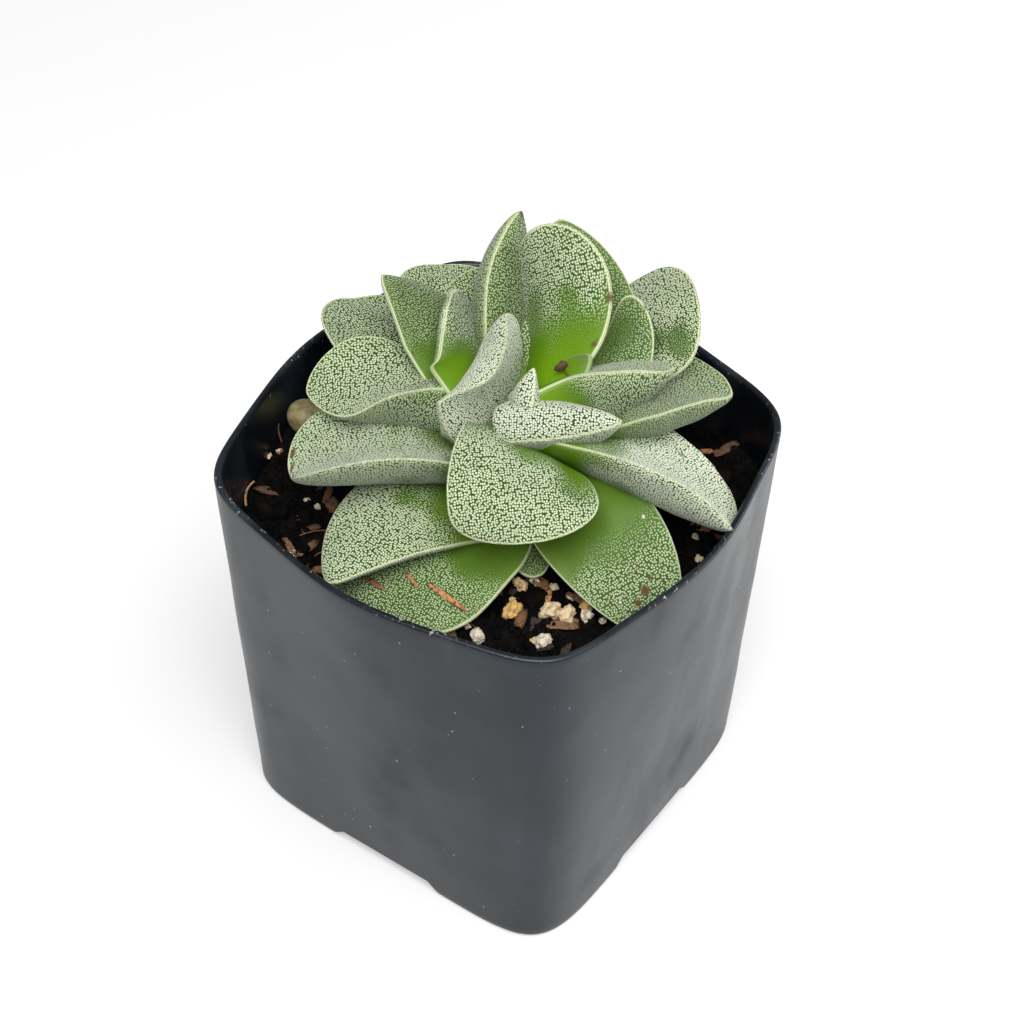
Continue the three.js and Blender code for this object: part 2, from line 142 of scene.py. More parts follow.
SHEET_HALF = 1500 * MM
PAPER_CLOUDS = 40
WHITE = (1, 1, 1, 1)
SHEET_GLOW = 0.34
ROOM_GLOW = 0.34
sheet_finish, sheet_shader = new_finish("white_sheet")
paper = cloudy(sheet_finish, PAPER_CLOUDS)
feed(sheet_finish, sheet_shader.inputs["Base Color"],
     mixed(sheet_finish, paper, paint(196, 196, 196), paint(200, 200, 199)))
set_all_over(sheet_shader, 0.9, emission_color=WHITE, emission_strength=SHEET_GLOW)
sheet_mesh = bpy.data.meshes.new("white_sheet")
corners = [(-SHEET_HALF, -SHEET_HALF, 0), (SHEET_HALF, -SHEET_HALF, 0)]
corners += [(SHEET_HALF, SHEET_HALF, 0), (-SHEET_HALF, SHEET_HALF, 0)]
sheet_mesh.from_pydata(corners, [], [(0, 1, 2, 3)])
sheet_mesh.materials.append(sheet_finish)
sheet = bpy.data.objects.new("white_sheet", sheet_mesh)
bpy.context.scene.collection.objects.link(sheet)

room = bpy.data.worlds.new("white_room")
room.use_nodes = True
walls = room.node_tree.nodes["Background"]
walls.inputs["Color"].default_value = WHITE
walls.inputs["Strength"].default_value = ROOM_GLOW
bpy.context.scene.world = room


def diffuser(name, size, spot, aim, power):
    """A square lamp of so many millimetres, aimed at a spot."""
    lamp = bpy.data.lights.new(name, "AREA")
    lamp.size = size * MM
    lamp.energy = power
    lamp_object = bpy.data.objects.new(name, lamp)
    bpy.context.scene.collection.objects.link(lamp_object)
    lamp_object.location = Vector(spot) * MM
    beam = Vector(aim) * MM - lamp_object.location
    lamp_object.rotation_euler = beam.to_track_quat("-Z", "Y").to_euler()


diffuser("overhead_diffuser", 450, (150, -230, 560), (0, 0, 25), 4.6)
diffuser("floor_light", 300, (260, 240, 160), (260, 240, 0), 1.2)
bpy.context.scene.view_settings.view_transform = "Standard"


# Pot
# A thin square nursery pot, moulded in one piece from black polypropylene: rounded corners, sides
# a little hollow between them, four feet with a channel between, and drain holes in the floor.
POT = dict(height=50.5, rim_half=27, rim_corner=6.5, rim_bow=0.058, base_half=22, base_corner=7,
           wall=0.8, lip=0.35, foot_round=0.7, foot_height=1.8, channel_half=8, channel_top=6,
           drain_radius=2.4, drain_reach=13)
WALL_WAVE = 0.07
POT_SIDES = 256
WALL_LEVELS = 64
DRAIN_SIDES = 32
BELOW = -1
DRILL_TOP = 4


def square_radius(angle, half, corner, bow):
    """Radius of a square with rounded corners and hollow sides, at a compass angle."""
    square = (abs(np.cos(angle)) ** corner + abs(np.sin(angle)) ** corner) ** (-1 / corner)
    return square * half * (1 + bow * np.cos(4 * angle)) / (1 + bow)


def pot_ring(z, inset, sides):
    """One level of the tapered wall, moved in by inset all round."""
    angle = np.arange(sides) * 2 * np.pi / sides
    level = z / POT["height"]
    base = square_radius(angle, POT["base_half"], POT["base_corner"], 0)
    rim = square_radius(angle, POT["rim_half"], POT["rim_corner"], POT["rim_bow"])
    half = POT["base_half"] + (POT["rim_half"] - POT["base_half"]) * level
    radius = (base + (rim - base) * level) * (1 - inset / half)
    return np.stack([radius * np.cos(angle), radius * np.sin(angle), np.full(sides, z)], axis=1)


def lofted(rings, low_end, high_end):
    """Points and faces of the closed skin through rings of equal length, with a fan at each end."""
    count = len(rings)
    around = len(rings[0])
    points = np.concatenate([*rings, [low_end], [high_end]])
    k = np.arange(around)
    following = (k + 1) % around
    rows = np.arange(count - 1)[:, None] * around
    quads = np.stack([rows + k, rows + following, rows + around + following, rows + around + k], axis=2)
    last = (count - 1) * around
    low = np.stack([np.full(around, count * around), following, k], axis=1)
    high = np.stack([np.full(around, count * around + 1), last + k, last + following], axis=1)
    return points, quads.reshape(-1, 4).tolist() + low.tolist() + high.tolist()


def new_piece(name, points, faces, finish):
    """A smooth mesh object from points in millimetres."""
    mesh = bpy.data.meshes.new(name)
    mesh.from_pydata((np.asarray(points) * MM).tolist(), [], faces)
    mesh.polygons.foreach_set("use_smooth", [True] * len(mesh.polygons))
    mesh.materials.append(finish)
    piece = bpy.data.objects.new(name, mesh)
    bpy.context.scene.collection.objects.link(piece)
    return piece


def set_measure(piece, name, values):
    """Writes one or three numbers for each point of a mesh, for its finish to read."""
    single = np.size(values) == len(piece.data.vertices)
    layer = piece.data.attributes.new(name, "FLOAT" if single else "FLOAT_VECTOR", "POINT")
    layer.data.foreach_set("value" if single else "vector", np.asarray(values, np.float32).ravel())


def cut_from(piece, tools):
    """Cuts throwaway solids out of a piece for good."""
    for tool in tools:
        cut = piece.modifiers.new("cut", "BOOLEAN")
        cut.object = tool
        cut.solver = "EXACT"
    bpy.context.view_layer.update()
    graph = bpy.context.evaluated_depsgraph_get()
    mesh = bpy.data.meshes.new_from_object(piece.evaluated_get(graph))
    piece.modifiers.clear()
    piece.data = mesh
    for tool in tools:
        bpy.data.objects.remove(tool)


def channel_bar(low_half, high_half, low, high, across):
    """A throwaway bar through the foot with half its width below and above; across is along Y."""
    long = 2 * POT["rim_half"]
    rings = np.array([[(-long, -half, z), (long, -half, z), (long, half, z), (-long, half, z)]
                      for half, z in ((low_half, low), (high_half, high))])
    if across:
        rings = np.stack([-rings[..., 1], rings[..., 0], rings[..., 2]], axis=-1)
    points, faces = lofted(rings, [0, 0, low], [0, 0, high])
    return new_piece("tool", points, faces, pot_finish)


def drill(x, y, radius, low, high):
    """A throwaway round bar along Z."""
    angle = np.arange(DRAIN_SIDES) * 2 * np.pi / DRAIN_SIDES
    round_edge = [x + radius * np.cos(angle), y + radius * np.sin(angle)]
    rings = [np.stack([*round_edge, np.full(DRAIN_SIDES, z)], axis=1) for z in (low, high)]
    points, faces = lofted(rings, [x, y, low], [x, y, high])
    return new_piece("tool", points, faces, pot_finish)


def between(finish, low, high, value):
    """0 where value is below low, 1 above high, and a smooth rise from one to the other."""
    sockets = {"Value": value, "From Min": low, "From Max": high}
    return node(finish, "MapRange", sockets, interpolation_type="SMOOTHSTEP").outputs["Result"]


def figured(finish, kind, first, second=0.5, third=0.5):
    """Arithmetic on two or three numbers or outputs."""
    return node(finish, "Math", {0: first, 1: second, 2: third}, operation=kind).outputs[0]


def bumped(finish, shader, height, depth, strength=1.0):
    """Gives a shader a relief that is depth millimetres deep."""
    sockets = {"Strength": strength, "Distance": depth * MM, "Height": height}
    feed(finish, shader.inputs["Normal"], node(finish, "Bump", sockets).outputs["Normal"])


# Faint streaks of painted reflection run down the wall, under smudges brightened with painted
# sheen, dark stains, specks of dust and painted glints on the lip.
pot_finish, pot_shader = new_finish("black_polypropylene")
# The lighter streaks in the wall colour are painted reflections.
painted_reflection_streaks = between(pot_finish, 0.38, 0.66, cloudy(pot_finish, 13, 5, (1, 1, 0.5)))
# The lighter patches are smudges that also change the gloss, and partly painted sheen.
smudges_and_painted_sheen = between(pot_finish, 0.46, 0.7, cloudy(pot_finish, 7, 6, (1, 1, 0.25)))
stains = between(pot_finish, 0.5, 0.74, cloudy(pot_finish, 10, 5, (1, 1, 0.7)))
specks = between(pot_finish, 0.735, 0.76, cloudy(pot_finish, 0.8, 3))
level = node(pot_finish, "Attribute", {}, attribute_name="level").outputs["Fac"]
lip_only = between(pot_finish, POT["height"] - 0.4, POT["height"] - 0.1, level)
# Bright specks along the lip are painted glints of light.
painted_lip_glints = between(pot_finish, 0.6, 0.68, cloudy(pot_finish, 0.45, 3))
painted_lip_glints = figured(pot_finish, "MULTIPLY", painted_lip_glints, between(pot_finish, 0.42, 0.62, cloudy(pot_finish, 9)))
painted_lip_glints = figured(pot_finish, "MULTIPLY", painted_lip_glints, lip_only)
pot_colour = mixed(pot_finish, painted_reflection_streaks, paint(8, 11, 16), paint(22, 28, 35))
smudge_and_sheen_share = figured(pot_finish, "MULTIPLY", smudges_and_painted_sheen, 0.7)
pot_colour = mixed(pot_finish, smudge_and_sheen_share, pot_colour, paint(46, 51, 57))
stained = figured(pot_finish, "MULTIPLY", stains, 0.8)
pot_colour = mixed(pot_finish, stained, pot_colour, paint(9, 8, 15))
# Specks of dust and the painted glints on the lip take one pale colour.
dust_and_painted_glints = figured(pot_finish, "MAXIMUM", specks, painted_lip_glints)
pot_colour = mixed(pot_finish, dust_and_painted_glints, pot_colour, paint(158, 158, 154))
feed(pot_finish, pot_shader.inputs["Base Color"], pot_colour)
roughness = figured(pot_finish, "MULTIPLY_ADD", smudges_and_painted_sheen, 0.1, 0.32)
roughness = figured(pot_finish, "MULTIPLY_ADD", stains, 0.08, roughness)
feed(pot_finish, pot_shader.inputs["Roughness"], roughness)
set_all_over(pot_shader, 0.36, ior=1.42, specular_tint=(0.84, 0.93, 1, 1))
bumped(pot_finish, pot_shader, cloudy(pot_finish, 0.25, 3), 0.01, 0.35)

# The outside, from a rounded foot up to a rounded lip, each level with how far it is moved in.
shares = np.linspace(0, 1, WALL_LEVELS)
quarter_turn = np.linspace(0, math.pi / 2, 5)
lip = POT["lip"]
foot = POT["foot_round"]
outer = [(foot * (1 - math.cos(a)), foot * (1 - math.sin(a))) for a in quarter_turn[:-1]]
outer += [(foot + (POT["height"] - lip - foot) * share, 0) for share in shares]
outer += [(POT["height"] - lip * (1 - math.sin(a)), lip * (1 - math.cos(a))) for a in quarter_turn[1:]]
rings = []
for z, inset in outer:
    ring = pot_ring(z, inset, POT_SIDES)
    wave = [noise.noise(Vector(p) / 11) + 0.5 * noise.noise(Vector(p) / 4.5) for p in ring]
    ring[:, :2] *= 1 + (WALL_WAVE * np.array(wave) / POT["rim_half"])[:, None]
    rings.append(ring)
points, faces = lofted(rings, [0, 0, 0], [0, 0, POT["height"]])
pot = new_piece("pot_shell", points, faces, pot_finish)

# The inside, one wall thickness in. Its floor rises over the cross channel to keep that thickness.
wall = POT["wall"]
cavity_top = POT["height"] + 1
inner = [(wall, wall + 3)]
inner += [(wall + (POT["height"] - lip - wall) * share, wall) for share in shares]
inner += [(POT["height"] - lip * (1 - math.sin(a)), wall - lip * (1 - math.cos(a)))
          for a in quarter_turn[1:-1]]
inner += [(cavity_top, wall - lip - 0.1)]
rings = [pot_ring(z, inset, POT_SIDES) for z, inset in inner]
points, faces = lofted(rings, [0, 0, wall], [0, 0, cavity_top])
cavity = new_piece("cavity", points, faces, pot_finish)
hump_half = POT["channel_half"] + wall
floor_top = POT["foot_height"] + wall
cut_from(cavity, [channel_bar(hump_half, hump_half, BELOW, floor_top, across)
                  for across in (False, True)])

# The channel's sides lean in towards its top, and the drain holes go through the floor.
flare = (POT["channel_half"] - POT["channel_top"]) / POT["foot_height"]
foot_half = POT["channel_half"] + flare
tools = [channel_bar(foot_half, POT["channel_top"], BELOW, POT["foot_height"], across)
         for across in (False, True)]
tools.append(cavity)
away = POT["drain_reach"]
for x, y in [(0, 0), (away, 0), (-away, 0), (0, away), (0, -away)]:
    tools.append(drill(x, y, POT["drain_radius"], BELOW, DRILL_TOP))
cut_from(pot, tools)
pot.data.set_sharp_from_angle(angle=math.radians(38))
set_measure(pot, "level", [vertex.co.z / MM for vertex in pot.data.vertices])
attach(pot, "root")
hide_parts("pot")


# Potting mix
# Damp milled peat with coir and fine bark, filled to 8 mm under the rim and watered down round
# the stem. Its crumbs are separate lumps pressed into one dark, very rough surface.
SOIL_LEVEL = 42
SOIL_WAIST = 20
SOIL_GAP = 0.3
HEAP = dict(x=-24, y=-4, height=1.6, spread=7)
LUMP_HEIGHT = 0.35
COARSE_CRUMB = dict(apart=2.2, height=0.42)
FINE_CRUMB = dict(apart=0.7, height=0.25)
SOIL_SIDES = 224
SOIL_RINGS = 84


def soil_height(x, y):
    """Height of the mix, with low lumps and a heap against the wall behind the left leaves."""
    rolling = np.sin(0.55 * x + 0.4) * np.cos(0.5 * y - 0.7) + 0.6 * np.sin(0.9 * x - 0.8 * y)
    away = ((x - HEAP["x"]) ** 2 + (y - HEAP["y"]) ** 2) / HEAP["spread"] ** 2
    return SOIL_LEVEL + LUMP_HEIGHT * rolling + HEAP["height"] * np.exp(-away)


def crumbled(x, y):
    """Fine relief of the mix, above or below its smooth height."""
    spot = Vector((x, y, 0))
    coarse = noise.fractal(spot / COARSE_CRUMB["apart"], 0.9, 2.1, 4)
    furrow = abs(noise.noise(spot / FINE_CRUMB["apart"] + Vector((9, 4, 2))))
    return COARSE_CRUMB["height"] * coarse - FINE_CRUMB["height"] * furrow


soil_finish, soil_shader = new_finish("damp_peat")
lights = between(soil_finish, 0.64, 0.78, cloudy(soil_finish, 0.45, 4))
reddish = between(soil_finish, 0.45, 0.65, cloudy(soil_finish, 1.6, 4))
soil_colour = mixed(soil_finish, reddish, paint(6, 5, 5), paint(17, 12, 10))
soil_colour = mixed(soil_finish, lights, soil_colour, paint(48, 36, 27))
feed(soil_finish, soil_shader.inputs["Base Color"], soil_colour)
set_all_over(soil_shader, 0.85, specular_ior_level=0.08)
bumped(soil_finish, soil_shader, cloudy(soil_finish, 0.3, 5), 0.25, 0.9)

inset = wall + SOIL_GAP
soil_floor = floor_top + SOIL_GAP
edge = pot_ring(SOIL_LEVEL, inset, SOIL_SIDES)
rings = [pot_ring(soil_floor, inset + 0.5, SOIL_SIDES), pot_ring(SOIL_WAIST, inset, SOIL_SIDES)]
for row in range(SOIL_RINGS, 0, -1):
    ring = edge * (row / SOIL_RINGS)
    smooth = soil_height(ring[:, 0], ring[:, 1])
    rough = np.array([crumbled(x, y) for x, y in ring[:, :2]])
    ring[:, 2] = smooth + rough
    rings.append(ring)
middle_top = soil_height(0, 0) + crumbled(0, 0)
points, faces = lofted(rings, [0, 0, soil_floor], [0, 0, middle_top])
bed = new_piece("potting_mix_bed", points, faces, soil_finish)
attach(bed, "root")
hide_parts("soil")

DICE_SEED = 41
dice = np.random.default_rng(DICE_SEED)
edge_angles = np.arange(SOIL_SIDES + 1) * 2 * np.pi / SOIL_SIDES
edge_reach = np.append(np.hypot(edge[:, 0], edge[:, 1]), math.hypot(*edge[0, :2]))


def ball(detail):
    """Points and triangles of a round ball of radius 1."""
    sphere = bmesh.new()
    bmesh.ops.create_icosphere(sphere, subdivisions=detail, radius=1)
    points = np.array([vertex.co[:] for vertex in sphere.verts])
    faces = np.array([[vertex.index for vertex in face.verts] for face in sphere.faces])
    sphere.free()
    return points, faces


def random_turns(count):
    """So many random rotation matrices."""
    q = dice.normal(size=(count, 4))
    q /= np.linalg.norm(q, axis=1)[:, None]
    w, x, y, z = q.T
    rows = [[1 - 2 * (y * y + z * z), 2 * (x * y - z * w), 2 * (x * z + y * w)],
            [2 * (x * y + z * w), 1 - 2 * (x * x + z * z), 2 * (y * z - x * w)],
            [2 * (x * z - y * w), 2 * (y * z + x * w), 1 - 2 * (x * x + y * y)]]
    return np.moveaxis(np.array(rows), 2, 0)


def lumps(centres, sizes, detail, roughness):
    """Many rough lumps as one set of points and triangles; sizes holds three half lengths each."""
    form, faces = ball(detail)
    count = len(centres)
    ruffle = 1 + roughness * dice.normal(size=(count, len(form), 1))
    shaped = form[None] * ruffle * np.asarray(sizes)[:, None, :]
    turned = np.einsum("nij,nkj->nki", random_turns(count), shaped)
    points = turned + np.asarray(centres)[:, None, :]
    index = faces[None] + (np.arange(count) * len(form))[:, None, None]
    return points.reshape(-1, 3), index.reshape(-1, 3).tolist()


def strewn(count, margin=1.0):
    """Random places over the mix, kept so far off the wall."""
    places = []
    limit = POT["rim_half"]
    while len(places) < count:
        x, y = dice.uniform(-limit, limit, 2)
        wall_here = np.interp(math.atan2(y, x) % (2 * np.pi), edge_angles, edge_reach)
        if math.hypot(x, y) < wall_here - margin:
            places.append((x, y, soil_height(x, y) + crumbled(x, y)))
    return np.array(places)


CRUMB_GROUPS = [
    dict(count=2600, size=0.22, spread=0.1, detail=1, roughness=0.2),
    dict(count=1100, size=0.42, spread=0.16, detail=2, roughness=0.13),
    dict(count=240, size=0.8, spread=0.25, detail=2, roughness=0.15),
]
for number, group in enumerate(CRUMB_GROUPS, 1):
    count = group["count"]
    centres = strewn(count, group["size"])
    centres[:, 2] += 0.12 * group["size"]
    halves = np.abs(dice.normal(group["size"], group["spread"], (count, 1)))
    halves = halves * dice.uniform(0.6, 1.25, (count, 3))
    points, faces = lumps(centres, halves, group["detail"], group["roughness"])
    crumbs = new_piece(f"peat_crumbs_{number}", points, faces, soil_finish)
    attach(crumbs, "root")


# Perlite
# Popped volcanic glass, rough white to cream grains, some stained by the peat. They lie half
# sunk in the mix, thickest where the leaves part over the front corner, with crumbs on one leaf.

# Each row is a place, a radius and how far the grain is stained.
PERLITE_PLACED = [
    (10.6, -12.7, 1.15, 1), (14, -10.6, 1.15, 0.5), (15.5, -9.7, 0.95, 0.5), (17.1, -8.4, 0.75, 0.1),
    (9.6, -17.5, 0.85, 0.1), (15.6, -14.2, 0.95, 0.1), (14.5, -14.3, 0.5, 0.6), (18.7, -7.8, 0.45, 0.3),
    (9, -9, 0.9, 0.7), (10, -7.6, 0.6, 0.2), (11.9, -6.9, 0.5, 0.3), (14, -7, 0.5, 0.3),
    (9.3, -10.9, 0.45, 0.8), (10.7, -9.5, 0.45, 0.8), (8.1, -17.2, 0.4, 0.2), (22.2, 5.4, 0.5, 0.4),
    (20.2, 7.7, 0.5, 0.4), (-24.3, -9.8, 0.45, 0.5), (-23.6, -8.8, 0.4, 0.4), (-16.8, -12.5, 0.5, 0.3),
    (-15.4, -12.4, 0.45, 0.3),
]
PERLITE_ELSEWHERE = 26
PERLITE_ON_LEAF = [(17.9, 0.4, 50.1, 0.28, 0), (19.7, -3.8, 47.4, 0.18, 0), (20.2, -7, 45, 0.2, 0)]
RAISED = 0.35

perlite_finish, perlite_shader = new_finish("perlite")
stain = node(perlite_finish, "Attribute", {}, attribute_name="stain").outputs["Fac"]
dirt = between(perlite_finish, 0.45, 0.75, cloudy(perlite_finish, 0.5, 4))
grain_colour = mixed(perlite_finish, stain, paint(214, 208, 192), paint(212, 172, 98))
grain_colour = mixed(perlite_finish, dirt, grain_colour, paint(160, 134, 92))
feed(perlite_finish, perlite_shader.inputs["Base Color"], grain_colour)
set_all_over(perlite_shader, 0.8)
bumped(perlite_finish, perlite_shader, cloudy(perlite_finish, 0.18, 3), 0.12, 0.8)

form, form_faces = ball(4)
grain_points, grain_faces, stains = [], [], []
grains = [(x, y, soil_height(x, y), radius, stained) for x, y, radius, stained in PERLITE_PLACED]
grains += [(x, y, soil_height(x, y), dice.uniform(0.25, 0.7), dice.choice([0, 0.15, 0.5, 1]))
           for x, y, z in strewn(PERLITE_ELSEWHERE, 1.2)]
for x, y, z, radius, stained in grains + PERLITE_ON_LEAF:
    shift = Vector(dice.uniform(0, 50, 3))
    knobs = [0.9 + 0.4 * noise.fractal(Vector(p) * 1.1 + shift, 0.8, 2.0, 4) for p in form]
    halves = radius * dice.uniform(0.8, 1.1, 3)
    turn = random_turns(1)[0]
    grain = (form * np.array(knobs)[:, None] * halves) @ turn.T
    grain_faces += (form_faces + len(grain_points) * len(form)).tolist()
    grain_points.append(grain + [x, y, z + RAISED * radius])
    stains.append(np.full(len(form), stained))
perlite = new_piece("perlite_grains", np.concatenate(grain_points), grain_faces, perlite_finish)
set_measure(perlite, "stain", np.concatenate(stains))
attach(perlite, "root")


# Bark and coir
# Flat splinters of composted pine bark and curled coir fibres, mixed through the peat. Some lie
# loose on top of it, three splinters lie on the low front leaf and a dry scrap by the bract.
bark_finish, bark_shader = new_finish("bark")
fibre = cloudy(bark_finish, 0.35, 4)
tone = node(bark_finish, "Attribute", {}, attribute_name="tone").outputs["Fac"]
bark_colour = mixed(bark_finish, tone, paint(36, 25, 20), paint(188, 134, 86))
bark_colour = mixed(bark_finish, between(bark_finish, 0.45, 0.7, fibre), bark_colour, paint(58, 40, 29))
feed(bark_finish, bark_shader.inputs["Base Color"], bark_colour)
set_all_over(bark_shader, 0.8)
bumped(bark_finish, bark_shader, fibre, 0.12, 0.7)

BARK_CHIPS = 95
CHIP_LIFT = 0.15
FIBRES = 40
FIBRE_HUMP = 0.7
FIBRE_END = 0.1

# Each row is a place, a heading, a half length and a tone.
BARK_ON_MIX = [
    (15.9, -10.6, 37, 1.6, 0.35), (12.1, -8.3, -59, 1.1, 0.9), (6.5, -19, 16, 1.6, 0.4),
    (14, 19.8, 40, 0.7, 0.9), (-16.1, -15.5, 80, 0.7, 0.9), (-13.8, -11.4, -17, 1.9, 0.35),
    (-22.6, -8.9, 10, 0.9, 0.5),
]

# Each row is a place with its height, a heading, a dip, a half length, a tone and how slender.
BARK_ON_LEAF = [
    (5.6, -17.35, 45.75, 0, 12, 2.3, 1, 0.55), (1.35, -17.8, 46.05, -20, 2, 1.1, 0.8, 0.55),
    (-2, -19.8, 45.25, -13, -10, 1.6, 0.5, 0.55), (4.3, 4.6, 60.9, 60, -30, 0.6, 0.15, 2),
]

# Each row is a first, middle and last point, each with its height over the mix, a radius and a tone.
ROOTLETS = [
    ((-25, -7, 1.4), (-24.8, -7.5, 0.8), (-24, -7.8, 0.2), 0.1, 0.15),
    ((-21.8, -16.8, 0.3), (-23.4, -15.4, 0.6), (-23.1, -13.8, 0.3), 0.14, 1),
]
form, form_faces = ball(3)
scrap_points, scrap_faces, tones = [], [], []


def add_scrap(points, faces, tone):
    """One more scrap in the heap."""
    start = sum(len(earlier) for earlier in scrap_points)
    scrap_faces.extend([[start + corner for corner in face] for face in faces])
    scrap_points.append(points)
    tones.append(np.full(len(points), tone))


def splinter(centre, heading, dip, length, tone, slender=1):
    """A ragged flat chip of bark; angles in degrees, length to either side of the middle."""
    width = length * dice.uniform(0.22, 0.45) * slender
    halves = np.array([length, width, dice.uniform(0.12, 0.3) * slender])
    shift = Vector(dice.uniform(0, 50, 3))
    ragged = [1 + 0.45 * noise.fractal(Vector(p) * 1.4 + shift, 0.7, 2.0, 3) for p in form]
    chip = np.sign(form) * np.abs(form) ** 0.7 * np.array(ragged)[:, None] * halves
    lean = Matrix.Rotation(math.radians(heading), 3, "Z") @ Matrix.Rotation(math.radians(dip), 3, "Y")
    add_scrap(chip @ np.array(lean).T + centre, form_faces.tolist(), tone)


def strand(first, middle, last, radius, tone):
    """A thin fibre along a bow through the mix; heights are above the mix."""
    ends = [np.array([x, y, soil_height(x, y) + lift]) for x, y, lift in (first, middle, last)]
    share = np.linspace(0, 1, 14)[:, None]
    path = (1 - share) ** 2 * ends[0]
    path = path + 2 * share * (1 - share) * ends[1] + share ** 2 * ends[2]
    forward = np.gradient(path, axis=0)
    forward /= np.linalg.norm(forward, axis=1)[:, None]
    side = np.cross(forward, [0, 0, 1])
    side /= np.linalg.norm(side, axis=1)[:, None]
    over = np.cross(side, forward)
    turn = np.arange(6)[:, None] * np.pi / 3
    rings = [p + radius * (np.cos(turn) * s + np.sin(turn) * o) for p, s, o in zip(path, side, over)]
    add_scrap(*lofted(rings, path[0], path[-1]), tone)


for x, y, heading, length, tone in BARK_ON_MIX:
    splinter([x, y, soil_height(x, y) + 0.25], heading, 0, length, tone)
for x, y, z, heading, dip, length, tone, slender in BARK_ON_LEAF:
    splinter([x, y, z], heading, dip, length, tone, slender)
for centre in strewn(BARK_CHIPS, 1.5):
    heading = dice.uniform(0, 360)
    dip = dice.normal(0, 17)
    length = dice.uniform(0.5, 1.7)
    tone = 0.5 * dice.uniform(0, 1) ** 2
    splinter(centre + [0, 0, CHIP_LIFT], heading, dip, length, tone)
for rootlet in ROOTLETS:
    strand(*rootlet)
for x, y, z in strewn(FIBRES, 3):
    bow = dice.uniform(-2, 2, 4)
    crest = (x + bow[0], y + bow[1], FIBRE_HUMP)
    last = (crest[0] + bow[2], crest[1] + bow[3], FIBRE_END)
    radius = dice.uniform(0.05, 0.1)
    tone = dice.uniform(0, 0.8)
    strand((x, y, FIBRE_END), crest, last, radius, tone)
scraps = new_piece("bark_and_fibre", np.concatenate(scrap_points), scrap_faces, bark_finish)
set_measure(scraps, "tone", np.concatenate(tones))
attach(scraps, "root")


# Pebble
# One smooth tan river pebble, worn round by water. It lies loose on the mix, where it rolled
# against the wall behind the left leaves.
PEBBLE = dict(radius=2.3, narrow=0.9, flat=0.85, dents=0.07)

pebble_finish, pebble_shader = new_finish("river_pebble")
mottle = between(pebble_finish, 0.35, 0.65, cloudy(pebble_finish, 0.9, 5))
feed(pebble_finish, pebble_shader.inputs["Base Color"],
     mixed(pebble_finish, mottle, paint(150, 140, 98), paint(112, 102, 66)))
set_all_over(pebble_shader, 0.55)
bumped(pebble_finish, pebble_shader, cloudy(pebble_finish, 0.3, 4), 0.08, 0.5)
form, form_faces = ball(5)
dents = [1 + PEBBLE["dents"] * noise.noise(Vector(p) * 1.3 + Vector((3, 1, 8))) for p in form]
halves = PEBBLE["radius"] * np.array([1, PEBBLE["narrow"], PEBBLE["flat"]])
low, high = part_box("pebble")
centre = np.array((low + high) / 2) / MM
pebble = new_piece("river_pebble", form * np.array(dents)[:, None] * halves + centre,
                   form_faces.tolist(), pebble_finish)
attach(pebble, "root")
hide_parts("pebble")


# Stem
# The short fleshy stem, hidden in the rosette and rooted in the mix. It carries every leaf, and
# is ringed with corky scars where older leaves have dropped.
STEM = dict(foot=39.5, top=54.2, foot_radius=3.4, top_radius=2.3, leaf_scars=7, scar_depth=0.25,
            swelling=0.05)
STEM_SIDES = 64
STEM_RINGS = 90

stem_finish, stem_shader = new_finish("fleshy_stem")
cork = between(stem_finish, 0.4, 0.6, cloudy(stem_finish, 0.8, 4, (1, 1, 3)))
feed(stem_finish, stem_shader.inputs["Base Color"],
     mixed(stem_finish, cork, paint(92, 110, 52), paint(104, 92, 56)))
set_all_over(stem_shader, 0.75)
bumped(stem_finish, stem_shader, cloudy(stem_finish, 0.4, 4), 0.15, 0.7)
angle = np.arange(STEM_SIDES) * 2 * np.pi / STEM_SIDES
rings = []
for share in np.linspace(0, 1, STEM_RINGS):
    ridge = 0.5 - 0.5 * math.cos(2 * math.pi * STEM["leaf_scars"] * share)
    radius = STEM["foot_radius"] + (STEM["top_radius"] - STEM["foot_radius"]) * share
    radius = radius - STEM["scar_depth"] * (1 - ridge) ** 3
    z = STEM["foot"] + (STEM["top"] - STEM["foot"]) * share
    ring = np.stack([radius * np.cos(angle), radius * np.sin(angle), np.full(STEM_SIDES, z)], axis=1)
    swell = [1 + STEM["swelling"] * noise.noise(Vector(p) / 1.5) for p in ring]
    ring[:, :2] *= np.array(swell)[:, None]
    rings.append(ring)
points, faces = lofted(rings, [0, 0, STEM["foot"]], [0, 0, STEM["top"]])
stem = new_piece("fleshy_stem", points, faces, stem_finish)
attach(stem, "root")
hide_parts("stem")


# Leaves
# Every leaf is a thick, pointed oval of green flesh under a felt of tiny white papillae, flat above,
# keeled below, and joined to the stem by its broad root. Younger pairs stand up in the middle,
# and older ones lie out over the rim.
PAPILLA_APART = 0.28
PAPILLA_HEIGHT = 0.06
MARGIN_LINES = (0.1, -0.04)
SMOOTH_ROUGHNESS = 0.38
FELT_ROUGHNESS = 0.42
FELT_SHEEN = 0.34


